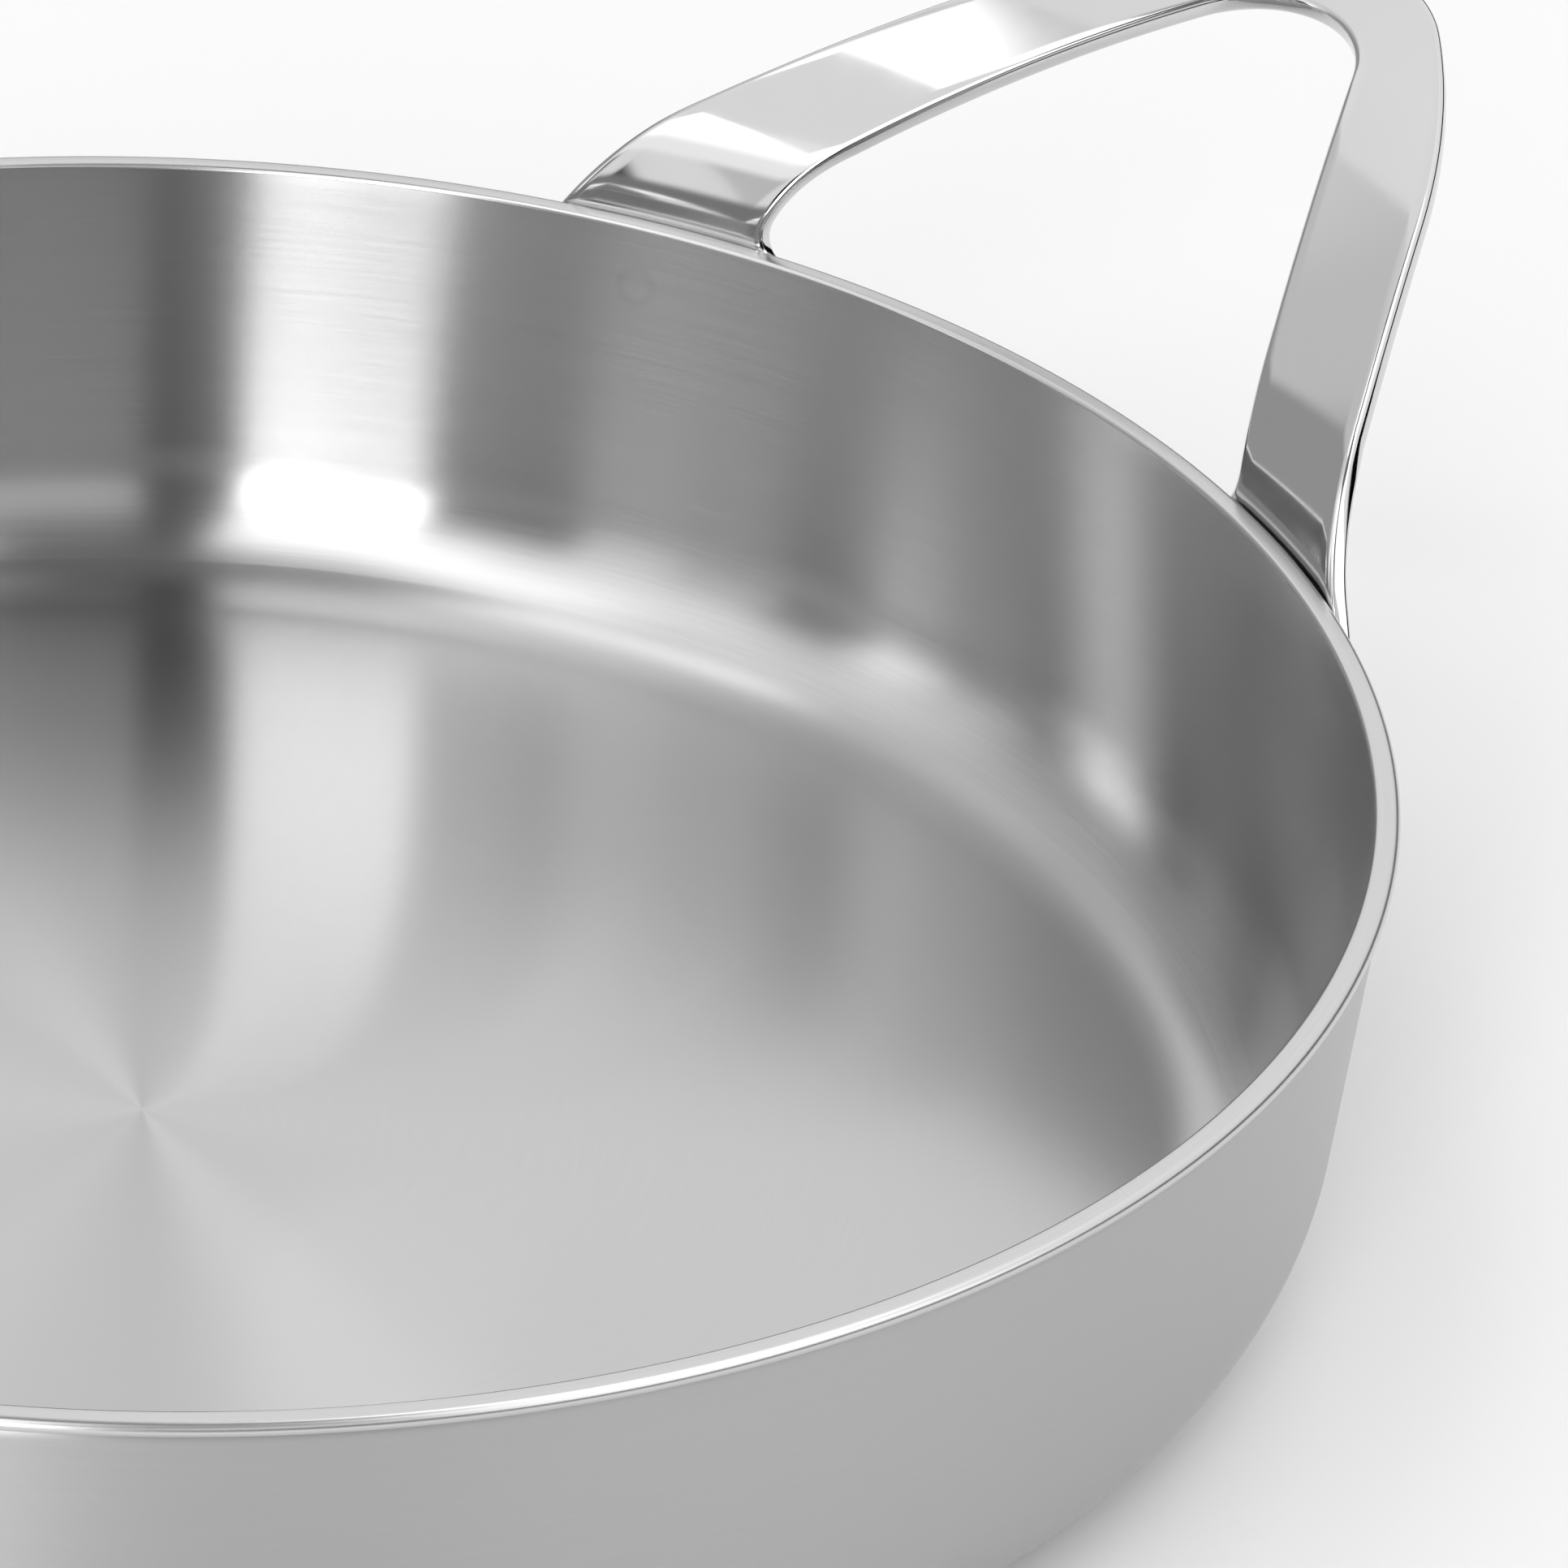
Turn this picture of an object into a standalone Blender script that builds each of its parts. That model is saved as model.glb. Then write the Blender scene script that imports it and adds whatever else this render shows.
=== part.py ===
"""Two-handled frying pan in clad stainless steel, metres, +Z up.

The pan stands on the plane z = 0 with its axis on the Z axis.
Its two loop handles lie on the X axis, one on each side.
"""

import math

import bmesh
import bpy
from mathutils import Vector

# Vessel
mouth_radius = 0.1400        # inner edge of the rim
rim_width = 0.0031           # from that edge to the outside of the rim
rim_lip_height = 0.0014      # height of the turned edge on the outside of the rim
rim_inner_round = 0.0006     # the wall rolls into the flat ring over this radius
rim_outer_round = 0.0010     # rounding of the outer edge of the ring
bowl_depth = 0.0536          # from the flat ring down to the cooking floor
wall_taper = math.radians(5.0)
floor_fillet = 0.0170        # inner radius between wall and floor

# Plies of the clad sheet, from the food side outwards
lining_thickness = 0.0004
core_thickness = 0.0013
shell_thickness = 0.0004
bond_gap = 0.0001            # bond line between two plies
lip_seat_gap = 0.0003        # between the turned edge and the plies under it

# Loop handles
strap_thickness = 0.0027
strap_width = 0.0151         # seen from above
strap_edge_round = 0.0008
strap_edge_angle = math.radians(50.0)  # edges sharper than this are rounded
foot_gap = 0.0828            # between the two legs of one handle at the rim
foot_drop = 0.0143           # how far a foot hangs below the rim
foot_corner = 0.0060         # corner radius at the bottom of a foot
inner_flare_radius = 0.0070  # the inner side of a foot spreads along this arc
inner_flare_rise = 0.0030    # which begins this far above the rim
outer_flare_radius = 0.0230  # the same for the outer side
outer_flare_rise = 0.0100
foot_ease_radius = 0.0300    # a foot eases along this arc into the slope of the wall
foot_clearance = 0.0003      # between a foot and the rim
bend_radius = 0.0192         # upper face of the bend above a foot
bend_drop = 0.0023           # the bend begins this far below the top of the rim
leg_angle = math.radians(30.5)    # how fast the two legs close in, seen from above
leg_slope = math.radians(34.8)    # how steeply the legs climb
leg_run = 0.0020             # straight climb before the legs level out
arch_radius = 0.1220         # radius along which they level out
crown_slope = math.radians(17.0)  # climb of the far end
crown_inner_radius = 0.0150  # round end of the finger gap
side_straight = 0.0470       # straight length of the outer edge of a leg
side_radius = 0.1200         # the outer edge then curves along this radius
crown_tip_radius = 0.0250    # round outer tip of the handle

# Weld pads that join the feet to the wall
weld_radius = 0.0050
weld_drop = 0.0080           # below the top of the rim
weld_aside = 0.0025          # from the middle of a leg towards the outer side of its foot
weld_clearance = 0.0003

# Facets
turned_steps = 72
fillet_steps = 8
rim_steps = 3
corner_rows = 4
foot_rows = 4
bend_rows = 8
leg_rows = 7
crown_rows = 9
strap_columns = 4
bevel_steps = 2
weld_steps = 20
merge_distance = 0.00001     # points of a turned piece on its axis become one

# Sizes that follow from the ones above
stack_thickness = lining_thickness + core_thickness + shell_thickness + 2 * bond_gap
rim_height = bowl_depth + stack_thickness
rim_outer_radius = mouth_radius + rim_width
foot_radius = rim_outer_radius + foot_clearance
mouth_height = rim_height - rim_inner_round * (1 - math.sin(wall_taper))
lip_base = rim_height - rim_lip_height


def turn_point(centre, radius, angle):
    """Point of a circle in the profile plane, angle from the outward direction."""
    return (centre[0] + radius * math.cos(angle), centre[1] + radius * math.sin(angle))


def bowl_profile(offset):
    """Axis to mouth outline of the bowl, moved outwards by offset from the food side."""
    floor_height = rim_height - bowl_depth
    fillet_height = floor_height + floor_fillet
    centre = (mouth_radius - (mouth_height - fillet_height) * math.tan(wall_taper)
              - floor_fillet / math.cos(wall_taper), fillet_height)
    points = [(0.0, floor_height - offset)]
    for step in range(fillet_steps + 1):
        angle = -math.pi / 2 + (math.pi / 2 - wall_taper) * step / fillet_steps
        points.append(turn_point(centre, floor_fillet + offset, angle))
    points.append((mouth_radius + offset * math.cos(wall_taper),
                   mouth_height - offset * math.sin(wall_taper)))
    return points


def cut_at_height(points, height):
    """The outline up to the height given, with its last point on that height."""
    kept = [points[0]]
    for low, high in zip(points, points[1:]):
        if high[1] > height > low[1]:
            share = (height - low[1]) / (high[1] - low[1])
            kept.append((low[0] + share * (high[0] - low[0]), height))
            break
        kept.append(high)
    return kept


def wall_outer_radius(height):
    """Radius of the outside of the wall at the height given."""
    return cut_at_height(bowl_profile(stack_thickness), height)[-1][0]


def lining_outline():
    """Closed section of the lining with its turned edge, food side first."""
    inner = bowl_profile(0.0)
    top = []
    centre = (mouth_radius + rim_inner_round * math.cos(wall_taper),
              rim_height - rim_inner_round)
    for step in range(1, rim_steps + 1):
        angle = math.pi - wall_taper - (math.pi / 2 - wall_taper) * step / rim_steps
        top.append(turn_point(centre, rim_inner_round, angle))
    centre = (rim_outer_radius - rim_outer_round, rim_height - rim_outer_round)
    for step in range(rim_steps + 1):
        top.append(turn_point(centre, rim_outer_round, math.pi / 2 * (1 - step / rim_steps)))
    top.append((rim_outer_radius, lip_base))
    back = cut_at_height(bowl_profile(lining_thickness), lip_base)
    return inner + top + back[::-1]


def ply_outline(near, far):
    """Closed section of a ply between two offsets, ending just under the turned edge."""
    top = lip_base - lip_seat_gap
    inner = cut_at_height(bowl_profile(near), top)
    outer = cut_at_height(bowl_profile(far), top)
    return inner + outer[::-1]


def steel(name, shade, roughness):
    material = bpy.data.materials.new(name)
    material.use_nodes = True
    shader = material.node_tree.nodes["Principled BSDF"]
    shader.inputs["Base Color"].default_value = (shade, shade, shade, 1.0)
    shader.inputs["Metallic"].default_value = 1.0
    shader.inputs["Roughness"].default_value = roughness
    return material


def add_object(name, mesh, collection, material):
    thing = bpy.data.objects.new(name, mesh)
    collection.objects.link(thing)
    if not mesh.materials:
        mesh.materials.append(material)
    return thing


def turned_piece(name, outline, collection, material):
    """A closed section turned about the Z axis."""
    mesh = bpy.data.meshes.new(name)
    points = [(radius, 0.0, height) for radius, height in outline]
    edges = [(index, index + 1) for index in range(len(points) - 1)]
    mesh.from_pydata(points, edges, [])
    piece = add_object(name, mesh, collection, material)
    screw = piece.modifiers.new("turn", 'SCREW')
    screw.axis = 'Z'
    screw.steps = turned_steps
    screw.render_steps = turned_steps
    screw.use_merge_vertices = True
    screw.merge_threshold = merge_distance
    screw.use_smooth_shade = True
    return piece


def arch_centre():
    turn = math.pi / 2 - leg_slope
    radius = foot_radius + bend_radius * (1 - math.cos(turn)) + leg_run * math.cos(leg_slope)
    height = (rim_height - bend_drop + bend_radius * math.sin(turn)
              + leg_run * math.sin(leg_slope))
    return (radius + arch_radius * math.sin(leg_slope),
            height - arch_radius * math.cos(leg_slope))


def strap_height(radius):
    """Height of the strap's upper face beyond the bend, at a distance from the axis."""
    centre_radius, centre_height = arch_centre()
    run_end = centre_radius - arch_radius * math.sin(leg_slope)
    crown_start = centre_radius - arch_radius * math.sin(crown_slope)
    if radius < run_end:
        run_end_height = centre_height + arch_radius * math.cos(leg_slope)
        return run_end_height - (run_end - radius) * math.tan(leg_slope)
    if radius < crown_start:
        return centre_height + math.sqrt(arch_radius ** 2 - (radius - centre_radius) ** 2)
    crown_start_height = centre_height + arch_radius * math.cos(crown_slope)
    return crown_start_height + (radius - crown_start) * math.tan(crown_slope)


leg_direction = Vector((math.cos(leg_angle), -math.sin(leg_angle)))
across_leg = Vector((math.sin(leg_angle), math.cos(leg_angle)))
inner_start = Vector((math.sqrt(foot_radius ** 2 - (foot_gap / 2) ** 2), foot_gap / 2))
outer_start = inner_start + across_leg * strap_width


def leg_point(start, radius):
    """Where an edge of a leg, seen from above, is at a distance from the axis."""
    along = start.dot(leg_direction)
    run = -along + math.sqrt(along ** 2 + radius ** 2 - start.length_squared)
    return start + leg_direction * run


def side_centre():
    """Centre of the long curve of the outer edge, seen from above."""
    foot_corner_point = leg_point(outer_start, foot_radius)
    start = foot_corner_point + leg_direction * side_straight
    return start, start - across_leg * side_radius


def outer_edge_point(radius):
    """Outer edge of a leg before the tip, at a distance from the axis."""
    start, centre = side_centre()
    point = leg_point(outer_start, radius)
    if point.x <= start.x:
        return point
    reach = centre.length
    cosine = (reach ** 2 + radius ** 2 - side_radius ** 2) / (2 * reach * radius)
    angle = math.atan2(centre.y, centre.x) + math.acos(cosine)
    return Vector((radius * math.cos(angle), radius * math.sin(angle)))


def crown_inner_centre():
    apex = inner_start.x + inner_start.y / math.tan(leg_angle)
    return apex - crown_inner_radius / math.sin(leg_angle)


def crown_tip_centre():
    centre = side_centre()[1]
    reach = side_radius - crown_tip_radius
    return centre.x + math.sqrt(reach ** 2 - centre.y ** 2)


def outer_crown_points(first):
    """Points of the outer edge from the last leg row to the tip, evenly spaced by turn."""
    centre = side_centre()[1]
    tip = Vector((crown_tip_centre(), 0.0))
    first_angle = math.atan2(first.y - centre.y, first.x - centre.x)
    join_angle = math.atan2(tip.y - centre.y, tip.x - centre.x)
    side_length = side_radius * (first_angle - join_angle)
    tip_length = crown_tip_radius * join_angle
    points = []
    for row in range(1, crown_rows + 1):
        length = (side_length + tip_length) * row / crown_rows
        if length < side_length:
            angle = first_angle - length / side_radius
            points.append(centre + side_radius * Vector((math.cos(angle), math.sin(angle))))
        else:
            angle = join_angle - (length - side_length) / crown_tip_radius
            points.append(tip + crown_tip_radius * Vector((math.cos(angle), math.sin(angle))))
    return points


def foot_face_radius(height):
    """Radius of a foot's pan-side face, which follows the slope of the wall downwards."""
    drop = max(0.0, rim_height - bend_drop - height)
    ease = min(drop, foot_ease_radius * math.sin(wall_taper))
    eased = foot_ease_radius - math.sqrt(foot_ease_radius ** 2 - ease ** 2)
    return foot_radius - eased - (drop - ease) * math.tan(wall_taper)


def side_spread(height, flare_rise, flare_radius):
    """How far a side of a foot stands out from the line of the leg at a height.

    The side follows the flare arc outwards, then the corner arc, which touches it
    and ends level with the bottom of the foot.
    """
    drop = rim_height + flare_rise - height
    if drop <= 0.0:
        return 0.0
    corner_drop = flare_rise + foot_drop - foot_corner
    reach = flare_radius + foot_corner
    turn = math.asin(min(1.0, corner_drop / reach))
    if drop < flare_radius * math.sin(turn):
        return flare_radius - math.sqrt(flare_radius ** 2 - drop ** 2)
    aside = max(0.0, reach * math.sin(turn) - drop, drop - corner_drop)
    bulge = math.sqrt(max(0.0, foot_corner ** 2 - aside ** 2))
    return flare_radius - reach * math.cos(turn) + bulge


def foot_row(radius, height):
    """One level row of a foot or of the bend, as points from the inner to the outer edge."""
    plan_radius = max(radius, foot_radius)
    inner = leg_point(inner_start, plan_radius)
    outer = leg_point(outer_start, plan_radius)
    inner_spread = side_spread(height, inner_flare_rise, inner_flare_radius)
    outer_spread = side_spread(height, outer_flare_rise, outer_flare_radius)
    inner_angle = math.atan2(inner.y, inner.x) - inner_spread / plan_radius
    outer_angle = math.atan2(outer.y, outer.x) + outer_spread / plan_radius
    row = []
    for column in range(strap_columns + 1):
        angle = inner_angle + (outer_angle - inner_angle) * column / strap_columns
        row.append(Vector((radius * math.cos(angle), radius * math.sin(angle), height)))
    return row


def plan_row(inner, outer):
    """A row between two points seen from above, laid on the strap's upper face."""
    row = []
    for column in range(strap_columns + 1):
        point = inner.lerp(outer, column / strap_columns)
        row.append(Vector((point.x, point.y, strap_height(point.length))))
    return row


def half_strap_rows():
    """Rows of the strap's upper face from the bottom of one foot to the tip."""
    rows = []
    corner_height = rim_height - foot_drop + foot_corner
    for step in range(corner_rows + 1):
        height = corner_height - foot_corner * math.cos(math.pi / 2 * step / corner_rows)
        rows.append(foot_row(foot_face_radius(height), height))
    bend_base = rim_height - bend_drop
    for step in range(1, foot_rows + 1):
        height = corner_height + (bend_base - corner_height) * step / foot_rows
        rows.append(foot_row(foot_face_radius(height), height))
    full_turn = math.pi / 2 - leg_slope
    for step in range(1, bend_rows + 1):
        turn = full_turn * step / bend_rows
        radius = foot_radius + bend_radius * (1 - math.cos(turn))
        height = bend_base + bend_radius * math.sin(turn)
        rows.append(foot_row(radius, height))
    bend_end = foot_radius + bend_radius * (1 - math.cos(full_turn))
    crown_centre = Vector((crown_inner_centre(), 0.0))
    crown_start = crown_centre + across_leg * crown_inner_radius
    for step in range(1, leg_rows + 1):
        radius = bend_end + (crown_start.length - bend_end) * step / leg_rows
        rows.append(plan_row(leg_point(inner_start, radius), outer_edge_point(radius)))
    outer_points = outer_crown_points(outer_edge_point(crown_start.length))
    for step in range(1, crown_rows + 1):
        angle = (math.pi / 2 - leg_angle) * (1 - step / crown_rows)
        inner = crown_centre + crown_inner_radius * Vector((math.cos(angle), math.sin(angle)))
        rows.append(plan_row(inner, outer_points[step - 1]))
    return rows


def strap_mesh(name):
    """Upper face of the whole loop: one half and its mirror image, as a grid."""
    rows = half_strap_rows()
    mirrored = [[Vector((p.x, -p.y, p.z)) for p in row] for row in rows[:-1]]
    loop = rows + mirrored[::-1]
    grid = bmesh.new()
    verts = [[grid.verts.new(point) for point in row] for row in loop]
    for low, high in zip(verts, verts[1:]):
        for column in range(strap_columns):
            corners = (low[column], high[column], high[column + 1], low[column + 1])
            grid.faces.new(corners)
    bmesh.ops.recalc_face_normals(grid, faces=grid.faces)
    crown_face = max(grid.faces, key=lambda face: face.calc_center_median().x)
    if crown_face.normal.z < 0:
        bmesh.ops.reverse_faces(grid, faces=grid.faces)
    mesh = bpy.data.meshes.new(name)
    grid.to_mesh(mesh)
    grid.free()
    mesh.shade_smooth()
    return mesh


def handle(name, mesh, turn, collection, material):
    piece = add_object(name, mesh, collection, material)
    piece.rotation_euler = (0.0, 0.0, turn)
    thicken = piece.modifiers.new("thickness", 'SOLIDIFY')
    thicken.thickness = strap_thickness
    thicken.offset = -1.0
    thicken.use_even_offset = True
    soften = piece.modifiers.new("edges", 'BEVEL')
    soften.width = strap_edge_round
    soften.segments = bevel_steps
    soften.limit_method = 'ANGLE'
    soften.angle_limit = strap_edge_angle
    return piece


def weld_angle():
    """Heading of the weld of a rear foot, seen from above."""
    inner = leg_point(inner_start, foot_radius)
    outer = leg_point(outer_start, foot_radius)
    middle = (math.atan2(inner.y, inner.x) + math.atan2(outer.y, outer.x)) / 2
    return middle + weld_aside / foot_radius


def weld_pad(name, angle, collection, material):
    """Round pad between the wall and a foot, seated on the curve of both."""
    pad = bmesh.new()
    wall_ring = []
    foot_ring = []
    for step in range(weld_steps):
        turn = 2 * math.pi * step / weld_steps
        height = rim_height - weld_drop + weld_radius * math.sin(turn)
        side = angle + weld_radius * math.cos(turn) / foot_radius
        near = wall_outer_radius(height) + weld_clearance
        far = foot_face_radius(height) - weld_clearance
        for ring, radius in ((wall_ring, near), (foot_ring, far)):
            ring.append(pad.verts.new((radius * math.cos(side), radius * math.sin(side), height)))
    pad.faces.new(wall_ring)
    pad.faces.new(foot_ring)
    for step in range(weld_steps):
        after = (step + 1) % weld_steps
        pad.faces.new((wall_ring[step], wall_ring[after], foot_ring[after], foot_ring[step]))
    pad.normal_update()
    bmesh.ops.recalc_face_normals(pad, faces=pad.faces)
    mesh = bpy.data.meshes.new(name)
    pad.to_mesh(mesh)
    pad.free()
    return add_object(name, mesh, collection, material)


def build():
    for old in list(bpy.data.objects):
        bpy.data.objects.remove(old, do_unlink=True)
    pan = bpy.data.collections.new("frying_pan")
    bpy.context.scene.collection.children.link(pan)

    core_near = lining_thickness + bond_gap
    core_far = core_near + core_thickness
    shell_near = core_far + bond_gap
    turned_piece("cooking_lining", lining_outline(), pan, steel("satin_steel", 0.72, 0.28))
    turned_piece("heat_core", ply_outline(core_near, core_far), pan,
                 steel("aluminium", 0.80, 0.40))
    turned_piece("outer_shell", ply_outline(shell_near, stack_thickness), pan,
                 steel("brushed_steel", 0.66, 0.32))

    polished = steel("polished_steel", 0.74, 0.12)
    loop = strap_mesh("loop_strap")
    weld_steel = steel("weld_steel", 0.60, 0.35)
    weld_heading = weld_angle()
    for side, turn in (("right", 0.0), ("left", math.pi)):
        handle("handle_" + side, loop, turn, pan, polished)
        for place, angle in (("rear", weld_heading), ("front", -weld_heading)):
            weld_pad("weld_pad_" + side + "_" + place, turn + angle, pan, weld_steel)


build()
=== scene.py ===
"""Looks of the clad steel frying pan: fine surfaces, finishes, studio and camera.

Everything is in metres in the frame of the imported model: the pan's axis is Z, its base lies on
z = 0 and its handles lie on the X axis.
"""

import math

import bmesh
import bpy
from mathutils import Matrix, Vector


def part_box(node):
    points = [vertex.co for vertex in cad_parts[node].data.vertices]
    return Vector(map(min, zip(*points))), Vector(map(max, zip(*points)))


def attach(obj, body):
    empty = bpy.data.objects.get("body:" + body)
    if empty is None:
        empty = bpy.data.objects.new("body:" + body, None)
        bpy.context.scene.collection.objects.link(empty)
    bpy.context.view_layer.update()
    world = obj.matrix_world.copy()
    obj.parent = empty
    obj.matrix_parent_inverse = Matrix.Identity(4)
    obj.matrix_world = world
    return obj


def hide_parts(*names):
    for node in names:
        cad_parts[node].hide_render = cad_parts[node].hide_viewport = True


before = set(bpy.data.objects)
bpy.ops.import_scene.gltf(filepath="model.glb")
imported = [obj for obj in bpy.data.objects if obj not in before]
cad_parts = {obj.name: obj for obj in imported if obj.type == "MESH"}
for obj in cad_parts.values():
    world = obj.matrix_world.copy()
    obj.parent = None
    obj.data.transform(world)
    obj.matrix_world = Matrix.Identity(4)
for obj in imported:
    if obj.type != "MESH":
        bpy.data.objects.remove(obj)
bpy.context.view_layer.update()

# Sizes read from the frame
rim_outer_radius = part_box("cooking_lining")[1].x
rim_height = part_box("cooking_lining")[1].z

# Vessel, as in the solids
rim_width = 0.0031
rim_lip_height = 0.0014
rim_inner_round = 0.0006
rim_outer_round = 0.0010
bowl_depth = 0.0536
wall_taper = math.radians(5.0)
floor_fillet = 0.0170
lining_thickness = 0.0004
core_thickness = 0.0013
shell_thickness = 0.0004
bond_gap = 0.0001
lip_seat_gap = 0.0003

# Loop handles, as in the solids
strap_thickness = 0.0027
strap_width = 0.0151
foot_gap = 0.0828
foot_drop = 0.0143
foot_corner = 0.0060
inner_flare_radius = 0.0070
inner_flare_rise = 0.0030
outer_flare_radius = 0.0230
outer_flare_rise = 0.0100
foot_ease_radius = 0.0300
foot_clearance = 0.0003
bend_radius = 0.0192
bend_drop = 0.0023
leg_angle = math.radians(30.5)
leg_slope = math.radians(34.8)
leg_run = 0.0020
arch_radius = 0.1220
crown_slope = math.radians(17.0)
crown_inner_radius = 0.0150
side_straight = 0.0470
side_radius = 0.1200
crown_tip_radius = 0.0250

# Weld pads
weld_radius = 0.0050
weld_drop = 0.0080
weld_aside = 0.0025
weld_clearance = 0.0003
weld_waist = 0.0006          # how far a pad draws in between its two ends
weld_crease = math.radians(40.0)   # an edge of a pad that is sharper than this stays sharp

# Details that only the visible surfaces have
lip_corner_round = 0.0002    # lower edge of the rim's turned edge
finish_turn = math.radians(31.0)   # how far up the fillet the finish of the floor goes
ply_edge_round = 0.0001
strap_edge_round = 0.0008
# Painted shade: a faint darker ring in the inner wall's colour over each weld
weld_shade_radius = 0.0023    # of the ring of painted shade on the inner wall over a weld
weld_shade_width = 0.0007
weld_shade_tone = 0.94

# Brushed finishes: shade, roughness, anisotropy, and the share by which the streaks change them
satin_finish = (0.55, 0.19, 1.0, 0.01)       # floor of the pan
wall_finish = (0.56, 0.23, 1.0, 0.03)
ground_finish = (0.62, 0.26, 0.3, 0.02)      # flat ring of the rim
outside_finish = (0.49, 0.36, 0.9, 0.015)
aluminium_finish = (0.80, 0.40, 0.3, 0.04)
streaks_per_metre = 2500.0   # across the brushing
streak_bends = 6.0           # how quickly the streaks change along the brushing
streak_detail = 4.0
streak_roughness = 0.6       # of the noise, not of the metal
streak_depth = 0.000010
anisotropy_turn = 0.25       # in turns, from along the brushing to across it

# Polished finishes: shade and roughness
polished_finish = (0.66, 0.08)
weld_finish = (0.60, 0.32)
haze_per_metre = 220.0
haze_detail = 5.0
haze_range = (0.8, 1.25)     # least and most of the roughness
haze_depth = 0.00002
haze_strength = 0.05

noise_low, noise_high = 0.3, 0.7   # where most of the values of a noise lie

# Fineness of the surfaces
turned_steps = 320
floor_rings = 8
floor_fillet_steps = 12
wall_fillet_steps = 20
wall_rings = 16
rim_steps = 8
edge_steps = 4
corner_rows = 10
foot_rows = 10
bend_rows = 20
leg_rows = 24
crown_rows = 30
strap_columns = 12
weld_steps = 48
weld_rings = 8

# Camera, from the ellipse of the rim and the two legs in the photograph
camera_azimuth = math.radians(-46.5)
camera_elevation = math.radians(30.3074)
camera_roll = math.radians(3.8766)
camera_distance = 1.02482
camera_aside = -0.072247     # of the mouth's centre from the middle of the picture
camera_above = 0.007532
camera_view_angle = math.radians(10.0)
camera_clip_start = 0.05

# Studio: soft boxes all round the pan. Each one fills a field of the sky between two headings,
# in degrees clockwise from the camera, and two elevations. The last value is its radiance.
# The key makes the bright band on the wall and the floor. The dark band on its right is a
# stretch of sky that has no box.
softboxes = (
    ("key", 3.8, 22.2, -90, 34, 5.50),
    ("near", 38.5, 49.0, 12, 34, 1.00),
    ("near_side", 49.0, 60.5, 12, 34, 0.70),
    ("side_gap", 60.5, 71.5, 12, 34, 0.10),
    ("strip_near", 71.5, 80.5, 12, 34, 1.70),
    ("between", 80.5, 91.5, 12, 34, 0.90),
    ("strip_far", 91.5, 103.0, 12, 34, 0.50),
    ("left_low", 22.2, 103.0, -90, 12, 0.25),
    ("far", 103.0, 150.0, -90, 34, 0.40),
    ("key_mid", 3.8, 37.5, 34, 46, 1.19),
    ("left_mid", 37.5, 75.0, 34, 46, 1.20),
    ("side_mid", 75.0, 103.0, 34, 46, 1.00),
    ("far_mid", 103.0, 150.0, 34, 46, 0.72),
    ("key_shoulder", 3.8, 37.5, 46, 60, 2.30),
    ("left_shoulder", 37.5, 75.0, 46, 60, 1.60),
    ("side_shoulder", 75.0, 103.0, 46, 60, 1.16),
    ("far_shoulder", 103.0, 150.0, 46, 60, 0.85),
    ("key_high", 3.8, 37.5, 60, 74, 2.20),
    ("left_high", 37.5, 75.0, 60, 74, 2.80),
    ("side_high", 75.0, 122.0, 60, 74, 1.00),
    ("far_high", 122.0, 150.0, 60, 74, 2.30),
    ("back", 150.0, 270.0, 16, 46, 1.05),
    ("back_shoulder", 150.0, 185.0, 46, 60, 1.00),
    ("back_right_shoulder", 185.0, 270.0, 46, 60, 1.15),
    ("back_high", 150.0, 187.0, 60, 74, 0.30),
    ("back_right_high", 187.0, 270.0, 60, 74, 3.20),
    ("right", 270.0, 325.0, 16, 74, 1.70),
    ("rear", 325.0, 353.5, 16, 46, 0.80),
    ("rear_shoulder", 325.0, 353.5, 46, 74, 0.25),
    ("camera", 353.5, 363.8, -90, 74, 0.06),
    ("top", -10.0, 370.0, 74, 100, 0.19),
)
heading_blur = 0.8           # half the width in degrees of the edges of a box
elevation_blur = 3.0
floor_size = 12.0
floor_shade = 0.86
floor_roughness = 0.9

# Sizes that follow from the ones above
stack_thickness = lining_thickness + core_thickness + shell_thickness + 2 * bond_gap
mouth_radius = rim_outer_radius - rim_width
foot_radius = rim_outer_radius + foot_clearance
mouth_height = rim_height - rim_inner_round * (1 - math.sin(wall_taper))
lip_base = rim_height - rim_lip_height
floor_height = rim_height - bowl_depth
fillet_radius = (mouth_radius
                 - (mouth_height - floor_height - floor_fillet) * math.tan(wall_taper)
                 - floor_fillet / math.cos(wall_taper))
finish_radius = fillet_radius + floor_fillet * math.sin(finish_turn)


def arc(centre, radius, start, end, steps):
    """Points of a circular arc in a plane, both ends included."""
    points = []
    for step in range(steps + 1):
        angle = start + (end - start) * step / steps
        points.append((centre[0] + radius * math.cos(angle), centre[1] + radius * math.sin(angle)))
    return points


def bowl_profile(offset):
    """Axis to mouth outline of the bowl, moved outwards by offset from the food side."""
    centre = (fillet_radius, floor_height + floor_fillet)
    points = [(0.0, floor_height - offset)]
    for ring in range(1, floor_rings):
        points.append((centre[0] * ring / floor_rings, floor_height - offset))
    finish_end = finish_turn - math.pi / 2
    points += arc(centre, floor_fillet + offset, -math.pi / 2, finish_end, floor_fillet_steps)
    points += arc(centre, floor_fillet + offset, finish_end, -wall_taper, wall_fillet_steps)[1:]
    foot = points[-1]
    mouth = (mouth_radius + offset * math.cos(wall_taper),
             mouth_height - offset * math.sin(wall_taper))
    for ring in range(1, wall_rings + 1):
        share = ring / wall_rings
        points.append((foot[0] + (mouth[0] - foot[0]) * share,
                       foot[1] + (mouth[1] - foot[1]) * share))
    return points


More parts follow.
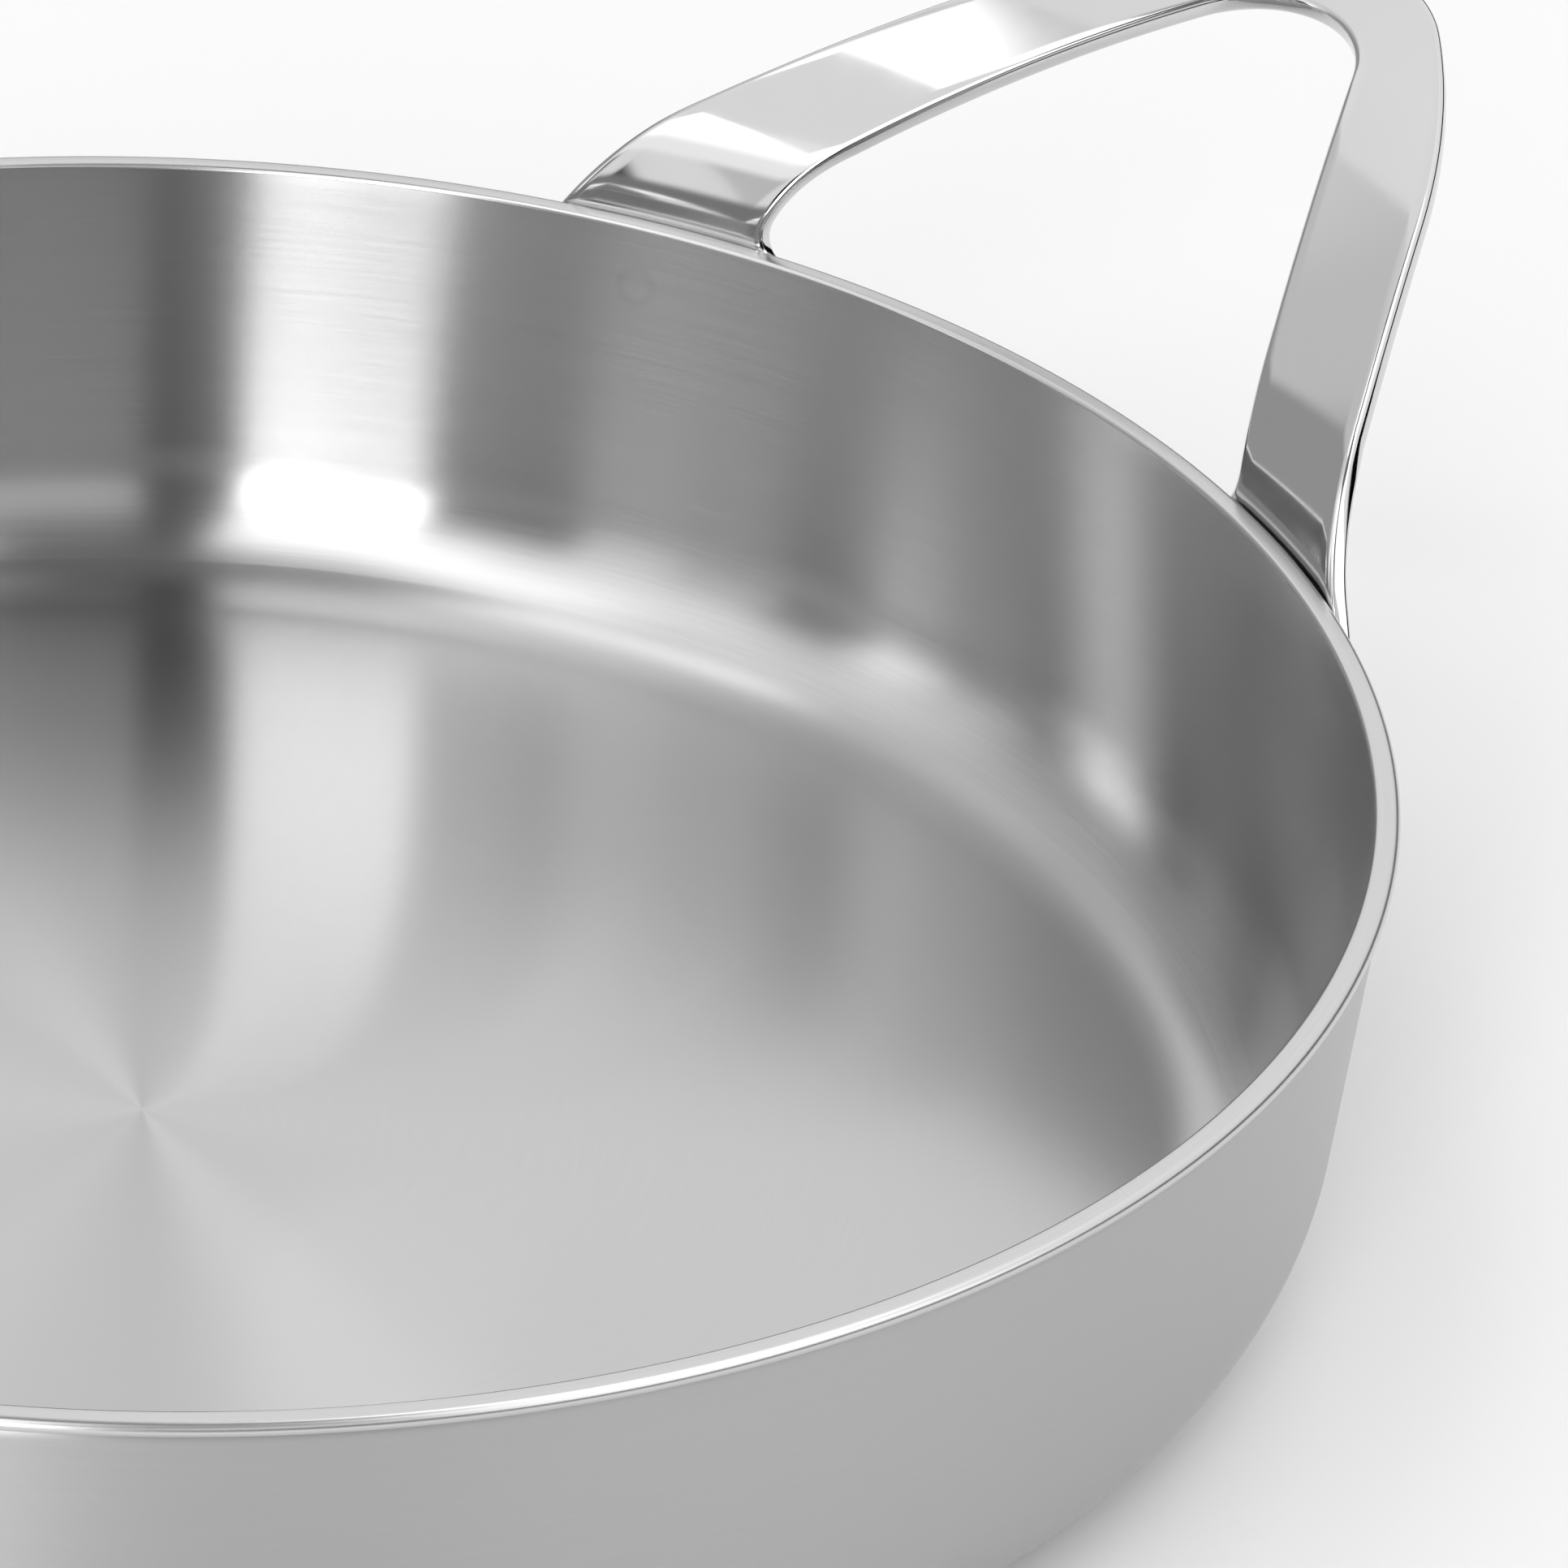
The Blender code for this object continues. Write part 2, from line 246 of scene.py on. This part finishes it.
def cut_at_height(points, height):
    """The outline up to the height given, with its last point on that height."""
    kept = [points[0]]
    for low, high in zip(points, points[1:]):
        if high[1] > height > low[1]:
            share = (height - low[1]) / (high[1] - low[1])
            kept.append((low[0] + share * (high[0] - low[0]), height))
            break
        kept.append(high)
    return kept


def wall_outer_radius(height):
    """Radius of the outside of the pan's wall at a height."""
    return cut_at_height(bowl_profile(stack_thickness), height)[-1][0]


def lining_outline():
    """Closed section of the lining with the rolled rim, food side first."""
    outline = bowl_profile(0.0)
    outline += arc((mouth_radius + rim_inner_round * math.cos(wall_taper),
                    rim_height - rim_inner_round),
                   rim_inner_round, math.pi - wall_taper, math.pi / 2, rim_steps)[1:]
    outline += arc((rim_outer_radius - rim_outer_round, rim_height - rim_outer_round),
                   rim_outer_round, math.pi / 2, 0.0, rim_steps)
    outline += arc((rim_outer_radius - lip_corner_round, lip_base + lip_corner_round),
                   lip_corner_round, 0.0, -math.pi / 2, edge_steps)
    back = cut_at_height(bowl_profile(lining_thickness), lip_base)
    return outline + back[::-1]


def ply_outline(near, far):
    """Closed section of a ply between two offsets, ending just under the turned edge."""
    top = lip_base - lip_seat_gap
    inner = cut_at_height(bowl_profile(near), top - ply_edge_round)
    outer = cut_at_height(bowl_profile(far), top - ply_edge_round)
    edge = [(inner[-1][0] + ply_edge_round, top), (outer[-1][0] - ply_edge_round, top)]
    return inner + edge + outer[::-1]


def turned_mesh(name, outline):
    """A closed section that starts and ends on the axis, turned about Z."""
    verts = []
    rings = []
    for radius, height in outline:
        if radius == 0.0:
            rings.append([len(verts)] * turned_steps)
            verts.append((0.0, 0.0, height))
            continue
        rings.append(list(range(len(verts), len(verts) + turned_steps)))
        for step in range(turned_steps):
            angle = 2 * math.pi * step / turned_steps
            verts.append((radius * math.cos(angle), radius * math.sin(angle), height))
    faces = []
    for low, high in zip(rings, rings[1:]):
        for step in range(turned_steps):
            after = (step + 1) % turned_steps
            corners = [low[step], high[step], high[after], low[after]]
            faces.append([c for k, c in enumerate(corners) if c not in corners[:k]])
    mesh = bpy.data.meshes.new(name)
    mesh.from_pydata(verts, [], faces)
    mesh.shade_smooth()
    return mesh


def new_piece(name, mesh, node, slot, *materials):
    """A visible piece that stands in for a node of the model."""
    piece = bpy.data.objects.new(name, mesh)
    bpy.context.scene.collection.objects.link(piece)
    for material in materials:
        mesh.materials.append(material)
    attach(piece, "root")
    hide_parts(node)
    return piece


def profile_arch():
    """Centre of the long arch of the strap in the profile plane, and where the leg's run ends."""
    turn = math.pi / 2 - leg_slope
    radius = foot_radius + bend_radius * (1 - math.cos(turn)) + leg_run * math.cos(leg_slope)
    height = (rim_height - bend_drop + bend_radius * math.sin(turn)
              + leg_run * math.sin(leg_slope))
    return (radius + arch_radius * math.sin(leg_slope),
            height - arch_radius * math.cos(leg_slope))


def strap_height_and_slope(radius):
    """Height and slope of the strap's upper face beyond the bend, by distance from the axis."""
    centre_radius, centre_height = profile_arch()
    run_end = centre_radius - arch_radius * math.sin(leg_slope)
    crown_start = centre_radius - arch_radius * math.sin(crown_slope)
    if radius < run_end:
        run_end_height = centre_height + arch_radius * math.cos(leg_slope)
        return run_end_height - (run_end - radius) * math.tan(leg_slope), leg_slope
    if radius < crown_start:
        slope = math.asin((centre_radius - radius) / arch_radius)
        return centre_height + arch_radius * math.cos(slope), slope
    crown_start_height = centre_height + arch_radius * math.cos(crown_slope)
    return crown_start_height + (radius - crown_start) * math.tan(crown_slope), crown_slope


leg_direction = Vector((math.cos(leg_angle), -math.sin(leg_angle)))
across_leg = Vector((math.sin(leg_angle), math.cos(leg_angle)))
inner_start = Vector((math.sqrt(foot_radius ** 2 - (foot_gap / 2) ** 2), foot_gap / 2))
outer_start = inner_start + across_leg * strap_width


def leg_point(start, radius):
    """Where an edge of a leg, seen from above, is at a distance from the axis."""
    along = start.dot(leg_direction)
    run = -along + math.sqrt(along ** 2 + radius ** 2 - start.length_squared)
    return start + leg_direction * run


def azimuth(point):
    return math.atan2(point.y, point.x)


def polar(radius, angle):
    """Point in plan at a distance and an angle from the axis."""
    return Vector((radius * math.cos(angle), radius * math.sin(angle)))


weld_heading = (azimuth(leg_point(inner_start, foot_radius))
                + azimuth(leg_point(outer_start, foot_radius))) / 2 + weld_aside / foot_radius


def foot_face(height):
    """Radius and slope of a foot's pan-side face."""
    drop = max(0.0, rim_height - bend_drop - height)
    ease = min(drop, foot_ease_radius * math.sin(wall_taper))
    lean = math.asin(ease / foot_ease_radius)
    eased = foot_ease_radius * (1 - math.cos(lean))
    radius = foot_radius - eased - (drop - ease) * math.tan(wall_taper)
    return radius, math.pi / 2 - lean


def side_spread(height, flare_rise, flare_radius, inset):
    """How far a side of a foot stands out from the line of the leg at a height."""
    drop = rim_height + flare_rise - height
    if drop <= 0.0:
        return 0.0
    corner_drop = flare_rise + foot_drop - foot_corner
    reach = flare_radius + foot_corner
    turn = math.asin(min(1.0, corner_drop / reach))
    flare = flare_radius + inset
    corner = foot_corner - inset
    if drop < flare * math.sin(turn):
        return flare - math.sqrt(flare ** 2 - drop ** 2)
    aside = max(0.0, reach * math.sin(turn) - drop, drop - corner_drop)
    return flare - reach * math.cos(turn) + math.sqrt(max(0.0, corner ** 2 - aside ** 2))


def strap_half(inset):
    """Rows of the strap's upper face from the bottom of one foot to the tip.

    The outline is drawn in by the inset all round. A row is a list of points and slopes
    from the inner to the outer edge.
    """
    inner_line = inner_start + across_leg * inset
    outer_line = outer_start - across_leg * inset
    rows = []

    def foot_row(radius, height, slope):
        """A row at one height, spread by the flares of the foot."""
        plan_radius = max(radius, foot_radius)
        inner_spread = side_spread(height, inner_flare_rise, inner_flare_radius, inset)
        outer_spread = side_spread(height, outer_flare_rise, outer_flare_radius, inset)
        inner = azimuth(leg_point(inner_line, plan_radius)) - inner_spread / plan_radius
        outer = azimuth(leg_point(outer_line, plan_radius)) + outer_spread / plan_radius
        row = []
        for column in range(strap_columns + 1):
            spot = polar(radius, inner + (outer - inner) * column / strap_columns)
            row.append((Vector((spot.x, spot.y, height)), slope))
        rows.append(row)

    def wall_row(height):
        radius, slope = foot_face(height)
        foot_row(radius, height, slope)

    def plan_row(inner, outer):
        """A row between two points in plan, laid on the leg or the crown."""
        row = []
        for column in range(strap_columns + 1):
            spot = inner.lerp(outer, column / strap_columns)
            height, slope = strap_height_and_slope(spot.length)
            row.append((Vector((spot.x, spot.y, height)), slope))
        rows.append(row)

    corner_height = rim_height - foot_drop + foot_corner
    for step in range(corner_rows + 1):
        share = math.cos(math.pi / 2 * step / corner_rows)
        wall_row(corner_height - (foot_corner - inset) * share)
    bend_base = rim_height - bend_drop
    for step in range(1, foot_rows + 1):
        wall_row(corner_height + (bend_base - corner_height) * step / foot_rows)
    full_turn = math.pi / 2 - leg_slope
    for step in range(1, bend_rows + 1):
        turn = full_turn * step / bend_rows
        foot_row(foot_radius + bend_radius * (1 - math.cos(turn)),
                 bend_base + bend_radius * math.sin(turn), math.pi / 2 - turn)
    bend_end = foot_radius + bend_radius * (1 - math.cos(full_turn))

    apex = inner_start.x + inner_start.y / math.tan(leg_angle)
    crown_centre = Vector((apex - crown_inner_radius / math.sin(leg_angle), 0.0))
    crown_start = crown_centre + across_leg * (crown_inner_radius + inset)
    side_start = leg_point(outer_start, foot_radius) + leg_direction * side_straight
    side_middle = side_start - across_leg * side_radius
    side_reach = side_radius - inset
    tip_reach = crown_tip_radius - inset
    tip = Vector((side_middle.x + math.sqrt((side_radius - crown_tip_radius) ** 2
                                            - side_middle.y ** 2), 0.0))
    for step in range(1, leg_rows + 1):
        radius = bend_end + (crown_start.length - bend_end) * step / leg_rows
        outer = leg_point(outer_line, radius)
        if (outer - side_start).dot(leg_direction) > 0:
            far = side_middle.length
            cosine = (far ** 2 + radius ** 2 - side_reach ** 2) / (2 * far * radius)
            outer = polar(radius, azimuth(side_middle) + math.acos(cosine))
        plan_row(leg_point(inner_line, radius), outer)

    first = azimuth(outer - side_middle)
    join = azimuth(tip - side_middle)
    side_length = side_reach * (first - join)
    length = side_length + tip_reach * join
    for step in range(1, crown_rows + 1):
        angle = (math.pi / 2 - leg_angle) * (1 - step / crown_rows)
        inner = crown_centre + polar(crown_inner_radius + inset, angle)
        run = length * step / crown_rows
        if run < side_length:
            outer = side_middle + polar(side_reach, first - run / side_reach)
        else:
            outer = tip + polar(tip_reach, join - (run - side_length) / tip_reach)
        plan_row(inner, outer)
    return rows


def strap_rows(inset, depth):
    """All rows of the loop, drawn in by the inset and moved by the depth under its upper face."""
    half = []
    for row in strap_half(inset):
        moved = []
        for point, slope in row:
            around = azimuth(point)
            normal = Vector((-math.sin(slope) * math.cos(around),
                             -math.sin(slope) * math.sin(around), math.cos(slope)))
            moved.append(point - normal * depth)
        half.append(moved)
    mirrored = [[Vector((p.x, -p.y, p.z)) for p in row] for row in half[:-1]]
    return half + mirrored[::-1]


def outline_of(rows):
    """The edge of a grid of rows as one closed loop."""
    loop = list(rows[0])
    loop += [row[-1] for row in rows[1:]]
    loop += rows[-1][-2::-1]
    loop += [row[0] for row in rows[-2:0:-1]]
    return loop


def strap_mesh(name):
    """The loop with rounded edges: two faces and the rings that join them."""
    mesh = bmesh.new()

    def grid(inset, depth):
        return [[mesh.verts.new(point) for point in row] for row in strap_rows(inset, depth)]

    def fill(verts):
        for low, high in zip(verts, verts[1:]):
            for column in range(strap_columns):
                mesh.faces.new((low[column], high[column], high[column + 1], low[column + 1]))

    upper = grid(strap_edge_round, 0.0)
    lower = grid(strap_edge_round, strap_thickness)
    fill(upper)
    fill(lower)
    turns = [math.pi / 2 * step / edge_steps for step in range(edge_steps + 1)]
    rounds = [(strap_edge_round * (1 - math.sin(turn)),
               strap_edge_round - strap_edge_round * math.cos(turn)) for turn in turns[1:]]
    rounds += [(strap_edge_round * (1 - math.cos(turn)),
                strap_thickness - strap_edge_round + strap_edge_round * math.sin(turn))
               for turn in turns[:-1]]
    rings = [outline_of(upper)]
    for inset, depth in rounds:
        rings.append([mesh.verts.new(point) for point in outline_of(strap_rows(inset, depth))])
    rings.append(outline_of(lower))
    for near, far in zip(rings, rings[1:]):
        for k in range(len(near)):
            after = (k + 1) % len(near)
            mesh.faces.new((near[k], near[after], far[after], far[k]))
    bmesh.ops.recalc_face_normals(mesh, faces=mesh.faces)
    data = bpy.data.meshes.new(name)
    mesh.to_mesh(data)
    mesh.free()
    data.shade_smooth()
    return data


def weld_mesh(name, angle):
    """Round weld between the wall and a foot, drawn in at its waist."""
    weld = bmesh.new()
    middle = rim_height - weld_drop

    def surface(across, up, share):
        height = middle + up
        near = wall_outer_radius(height) + weld_clearance
        far = foot_face(height)[0] - weld_clearance
        radius = near + (far - near) * share
        side = angle + across / foot_radius
        return Vector((radius * math.cos(side), radius * math.sin(side), height))

    rings = []
    for ring in range(weld_rings + 1):
        share = ring / weld_rings
        reach = weld_radius - weld_waist * math.sin(math.pi * share)
        turns = [2 * math.pi * step / weld_steps for step in range(weld_steps)]
        rings.append([weld.verts.new(surface(reach * math.cos(t), reach * math.sin(t), share))
                      for t in turns])
    for near, far in zip(rings, rings[1:]):
        for k in range(weld_steps):
            after = (k + 1) % weld_steps
            weld.faces.new((near[k], near[after], far[after], far[k]))
    weld.faces.new(rings[0])
    weld.faces.new(rings[-1])
    bmesh.ops.recalc_face_normals(weld, faces=weld.faces)
    mesh = bpy.data.meshes.new(name)
    weld.to_mesh(mesh)
    weld.free()
    mesh.shade_smooth()
    mesh.set_sharp_from_angle(angle=weld_crease)
    return mesh


class Nodes:
    """Short calls for building the node tree of a material or of the world."""

    def __init__(self, owner):
        self.tree = owner.node_tree

    def new(self, kind, inputs=(), **settings):
        node = self.tree.nodes.new(kind)
        for name, value in settings.items():
            setattr(node, name, value)
        for name, value in dict(inputs).items():
            if isinstance(value, bpy.types.NodeSocket):
                self.tree.links.new(value, node.inputs[name])
            else:
                node.inputs[name].default_value = value
        return node

    def math(self, operation, *values):
        node = self.new("ShaderNodeMath", operation=operation)
        for index, value in enumerate(values):
            if isinstance(value, bpy.types.NodeSocket):
                self.tree.links.new(value, node.inputs[index])
            else:
                node.inputs[index].default_value = value
        return node.outputs[0]

    def degrees(self, angle):
        """An angle in radians, as degrees."""
        return self.math('DEGREES', angle)


def brush_streaks(nodes):
    """Noise drawn out along circles about Z: slow along them, quick from one to the next."""
    spot = nodes.new("ShaderNodeTexCoord").outputs["Object"]
    parts = nodes.new("ShaderNodeSeparateXYZ", {"Vector": spot})
    flat = nodes.new("ShaderNodeCombineXYZ", {"X": parts.outputs["X"], "Y": parts.outputs["Y"]})
    radius = nodes.new("ShaderNodeVectorMath", {0: flat.outputs[0]}, operation='LENGTH')
    heading = nodes.new("ShaderNodeVectorMath", {0: flat.outputs[0]}, operation='NORMALIZE')
    slow = nodes.new("ShaderNodeVectorMath", {0: heading.outputs[0]}, operation='SCALE')
    slow.inputs["Scale"].default_value = streak_bends
    slow_parts = nodes.new("ShaderNodeSeparateXYZ", {"Vector": slow.outputs[0]})
    run = nodes.math('ADD', radius.outputs["Value"], parts.outputs["Z"])
    vector = nodes.new("ShaderNodeCombineXYZ", {
        "X": slow_parts.outputs["X"], "Y": slow_parts.outputs["Y"],
        "Z": nodes.math('MULTIPLY', run, streaks_per_metre)})
    noise = nodes.new("ShaderNodeTexNoise", {
        "Vector": vector.outputs[0], "Scale": 1.0, "Detail": streak_detail,
        "Roughness": streak_roughness})
    return noise.outputs["Fac"]


def spread(nodes, noise, least, most):
    """The noise stretched to run between two values."""
    return nodes.new("ShaderNodeMapRange", {
        "Value": noise, "From Min": noise_low, "From Max": noise_high,
        "To Min": least, "To Max": most}).outputs[0]


def metal(name, shade, roughness, anisotropy=0.0):
    """Bare metal. Anisotropy draws its reflections out across the brushing."""
    material = bpy.data.materials.new(name)
    material.use_nodes = True
    shader = material.node_tree.nodes["Principled BSDF"]
    shader.inputs["Base Color"].default_value = (shade, shade, shade, 1.0)
    shader.inputs["Metallic"].default_value = 1.0
    shader.inputs["Roughness"].default_value = roughness
    if anisotropy:
        shader.inputs["Anisotropic"].default_value = anisotropy
        shader.inputs["Anisotropic Rotation"].default_value = anisotropy_turn
        tangent = material.node_tree.nodes.new("ShaderNodeTangent")
        tangent.direction_type = 'RADIAL'
        tangent.axis = 'Z'
        material.node_tree.links.new(tangent.outputs[0], shader.inputs["Tangent"])
    return material, shader


def brushed_metal(name, finish):
    """Metal brushed round the pan's axis, with fine streaks."""
    shade, roughness, anisotropy, streak = finish
    material, shader = metal(name, shade, roughness, anisotropy)
    nodes = Nodes(material)
    streaks = brush_streaks(nodes)
    rough = spread(nodes, streaks, roughness * (1 - streak), roughness * (1 + streak))
    tone = spread(nodes, streaks, shade * (1 - streak), shade * (1 + streak))
    relief = nodes.new("ShaderNodeBump", {
        "Strength": streak, "Distance": streak_depth, "Height": streaks})
    links = material.node_tree.links
    links.new(rough, shader.inputs["Roughness"])
    links.new(tone, shader.inputs["Base Color"])
    links.new(relief.outputs[0], shader.inputs["Normal"])
    return material


def paint_weld_shade(material, heading):
    """Painted shade: faint darker rings in the colour of the inner wall where the welds of the
    feet are behind it.

    The four welds are mirror images of each other, so one place serves for all.
    """
    nodes = Nodes(material)
    shader = material.node_tree.nodes["Principled BSDF"]
    height = rim_height - weld_drop
    radius = mouth_radius - (mouth_height - height) * math.tan(wall_taper)
    place = (radius * math.cos(heading), radius * math.sin(heading), height)
    spot = nodes.new("ShaderNodeTexCoord").outputs["Object"]
    quarter = nodes.new("ShaderNodeVectorMath", {0: spot}, operation='ABSOLUTE')
    away = nodes.new("ShaderNodeVectorMath", {0: quarter.outputs[0], 1: place},
                     operation='DISTANCE')
    off = nodes.math('ABSOLUTE', nodes.math('SUBTRACT', away.outputs["Value"], weld_shade_radius))
    # painted shade: the wall's colour is darkened in a thin ring round each weld
    painted_shade = nodes.new("ShaderNodeMapRange", {
        "Value": off, "From Min": 0.0, "From Max": weld_shade_width,
        "To Min": weld_shade_tone, "To Max": 1.0})
    links = material.node_tree.links
    tone = shader.inputs["Base Color"].links[0].from_socket
    links.new(nodes.math('MULTIPLY', tone, painted_shade.outputs[0]), shader.inputs["Base Color"])


def polished_metal(name, finish):
    """Polished metal with a faint unevenness."""
    shade, roughness = finish
    material, shader = metal(name, shade, roughness)
    nodes = Nodes(material)
    spot = nodes.new("ShaderNodeTexCoord").outputs["Object"]
    haze = nodes.new("ShaderNodeTexNoise", {
        "Vector": spot, "Scale": haze_per_metre, "Detail": haze_detail}).outputs["Fac"]
    least, most = haze_range
    rough = spread(nodes, haze, roughness * least, roughness * most)
    relief = nodes.new("ShaderNodeBump", {
        "Strength": haze_strength, "Distance": haze_depth, "Height": haze})
    links = material.node_tree.links
    links.new(rough, shader.inputs["Roughness"])
    links.new(relief.outputs[0], shader.inputs["Normal"])
    return material


def build_bowl():
    satin = brushed_metal("satin_steel", satin_finish)
    wall = brushed_metal("wall_steel", wall_finish)
    # painted shade: darker rings on the inner wall over the welds
    paint_weld_shade(wall, weld_heading)
    ground = brushed_metal("ground_rim_steel", ground_finish)
    lining = new_piece("lining_surface", turned_mesh("lining_surface", lining_outline()),
                       "cooking_lining", "satin_steel", satin, wall, ground)
    for face in lining.data.polygons:
        spot = face.center
        radius = math.hypot(spot.x, spot.y)
        if radius > mouth_radius and spot.z > rim_height - rim_outer_round:
            face.material_index = 2
        elif radius > finish_radius:
            face.material_index = 1
    core_near = lining_thickness + bond_gap
    shell_near = core_near + core_thickness + bond_gap
    shell = turned_mesh("shell_surface", ply_outline(shell_near, stack_thickness))
    new_piece("shell_surface", shell, "outer_shell", "brushed_steel",
              brushed_metal("brushed_steel", outside_finish))
    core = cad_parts["heat_core"]
    core.data.materials.clear()
    core.data.materials.append(brushed_metal("aluminium", aluminium_finish))


def build_handles():
    polished = polished_metal("polished_steel", polished_finish)
    weld_steel = polished_metal("weld_steel", weld_finish)
    strap = strap_mesh("loop_strap")
    for side, turn in (("right", 0.0), ("left", math.pi)):
        mesh = strap.copy()
        mesh.transform(Matrix.Rotation(turn, 4, 'Z'))
        new_piece("handle_surface_" + side, mesh, "handle_" + side, "polished_steel", polished)
        for place, angle in (("rear", weld_heading), ("front", -weld_heading)):
            weld = weld_mesh("weld_surface_" + side + "_" + place, turn + angle)
            new_piece(weld.name, weld, "weld_pad_" + side + "_" + place, "weld_steel", weld_steel)


def build_floor():
    bpy.ops.mesh.primitive_plane_add(size=floor_size, location=(0.0, 0.0, 0.0))
    floor = bpy.context.object
    floor.name = "studio_floor"
    material = bpy.data.materials.new("studio_floor")
    material.use_nodes = True
    shader = material.node_tree.nodes["Principled BSDF"]
    shader.inputs["Base Color"].default_value = (floor_shade, floor_shade, floor_shade, 1.0)
    shader.inputs["Roughness"].default_value = floor_roughness
    floor.data.materials.append(material)


def build_camera():
    """Camera on the line of sight of the photograph, looking past the pan's right side."""
    ahead = Vector((-math.sin(camera_azimuth) * math.cos(camera_elevation),
                    math.cos(camera_azimuth) * math.cos(camera_elevation),
                    -math.sin(camera_elevation)))
    level = Vector((math.cos(camera_azimuth), math.sin(camera_azimuth), 0.0))
    upright = level.cross(ahead)
    right = math.cos(camera_roll) * level + math.sin(camera_roll) * upright
    up = -math.sin(camera_roll) * level + math.cos(camera_roll) * upright
    mouth = Vector((0.0, 0.0, mouth_height))
    place = mouth - camera_distance * ahead - camera_aside * right - camera_above * up
    data = bpy.data.cameras.new("camera")
    data.angle = camera_view_angle
    data.clip_start = camera_clip_start
    camera = bpy.data.objects.new("camera", data)
    bpy.context.scene.collection.objects.link(camera)
    turn = Matrix((right, up, -ahead)).transposed()
    camera.matrix_world = Matrix.Translation(place) @ turn.to_4x4()
    bpy.context.scene.camera = camera


def build_studio():
    """Soft boxes, painted on the sky so that they light the whole pan from the same headings."""
    world = bpy.data.worlds.new("studio")
    bpy.context.scene.world = world
    world.use_nodes = True
    nodes = Nodes(world)
    spot = nodes.new("ShaderNodeTexCoord").outputs["Generated"]
    parts = nodes.new("ShaderNodeSeparateXYZ", {"Vector": spot})
    around = nodes.math('ARCTAN2', parts.outputs["Y"], parts.outputs["X"])
    heading = nodes.math('SUBTRACT', math.degrees(camera_azimuth) - 90, nodes.degrees(around))
    elevation = nodes.degrees(nodes.math('ARCSINE', parts.outputs["Z"]))

    def field(offset, half, blur):
        """1 within the half width and 0 outside it, with a soft edge."""
        return nodes.new("ShaderNodeMapRange", {
            "Value": nodes.math('ABSOLUTE', offset), "From Min": half - blur,
            "From Max": half + blur, "To Min": 1.0, "To Max": 0.0},
            interpolation_type='SMOOTHSTEP').outputs[0]

    light = 0.0
    for name, start, end, low, high, radiance in softboxes:
        offset = nodes.math('WRAP', nodes.math('SUBTRACT', heading, (start + end) / 2), 180, -180)
        climb = nodes.math('SUBTRACT', elevation, (low + high) / 2)
        share = nodes.math('MULTIPLY', field(offset, (end - start) / 2, heading_blur),
                           field(climb, (high - low) / 2, elevation_blur))
        box = nodes.math('MULTIPLY', share, radiance)
        box.node.name = name
        light = nodes.math('ADD', light, box)
    world.node_tree.links.new(light, world.node_tree.nodes["Background"].inputs["Color"])
    bpy.context.scene.view_settings.view_transform = 'Standard'


build_bowl()
build_handles()
build_floor()
build_camera()
build_studio()
